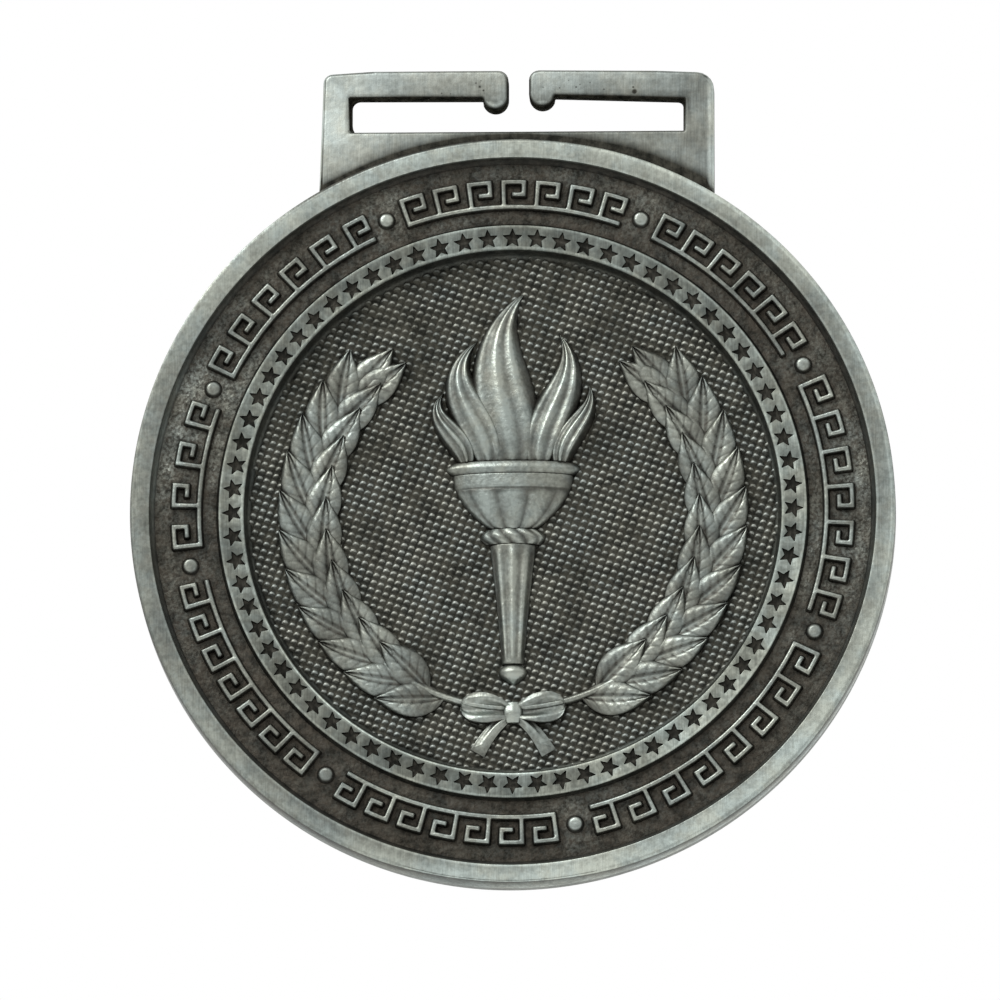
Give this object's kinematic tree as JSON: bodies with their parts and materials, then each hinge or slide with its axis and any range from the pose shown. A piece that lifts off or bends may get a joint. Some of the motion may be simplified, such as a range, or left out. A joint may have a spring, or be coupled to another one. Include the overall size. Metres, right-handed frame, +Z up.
{
  "type": "sports finisher medal",
  "caption": "Round antique silver finisher medal with a torch and laurel relief, a star ring, a key ornament band and an open slotted loop for a neck ribbon.",
  "frame": {"origin": "middle of the loop's thickness on the disc's upright centre line, level with the top wall of the ribbon slot, where the medal hangs", "axes": "+Z up from the disc towards the ribbon loop, -Y out of the face, +Y out of the reverse, +X to the right as the face is looked at"},
  "size_m": [0.06, 0.003, 0.0658],
  "materials": {
    "brushed_silver": "antique silver plate, brushed on the high flats",
    "relief_silver": "antique silver plate, worn bright on the high points and dark in the hollows",
    "dark_patina": "blackened antique patina, matte",
    "reverse_silver": "antique silver plate, satin"
  },
  "bodies": {
    "root": {"disc_blank": "reverse_silver", "outer_rim": "brushed_silver", "legend_band": "dark_patina", "star_ring": "brushed_silver", "field_plate": "dark_patina", "band_dot_1": "relief_silver", "band_dot_2": "relief_silver", "band_dot_3": "relief_silver", "band_dot_4": "relief_silver", "band_dot_5": "relief_silver", "band_dot_6": "relief_silver", "band_dot_7": "relief_silver", "band_dot_8": "relief_silver", "key_run_1": "relief_silver", "key_run_2": "relief_silver", "key_run_3": "relief_silver", "key_run_4": "relief_silver", "key_run_5": "relief_silver", "key_run_6": "relief_silver", "key_run_7": "relief_silver", "key_run_8": "relief_silver", "loop_web": "brushed_silver", "loop_left_post": "brushed_silver", "loop_right_post": "brushed_silver", "loop_left_arm": "brushed_silver", "loop_right_arm": "brushed_silver", "loop_left_hook": "brushed_silver", "loop_right_hook": "brushed_silver", "torch_finial": "relief_silver", "torch_handle": "relief_silver", "torch_collar": "relief_silver", "torch_bowl": "relief_silver", "torch_lip": "relief_silver", "torch_flame": "relief_silver", "laurel_left": "relief_silver", "laurel_right": "relief_silver", "laurel_bow": "relief_silver"}
  },
  "joints": []
}
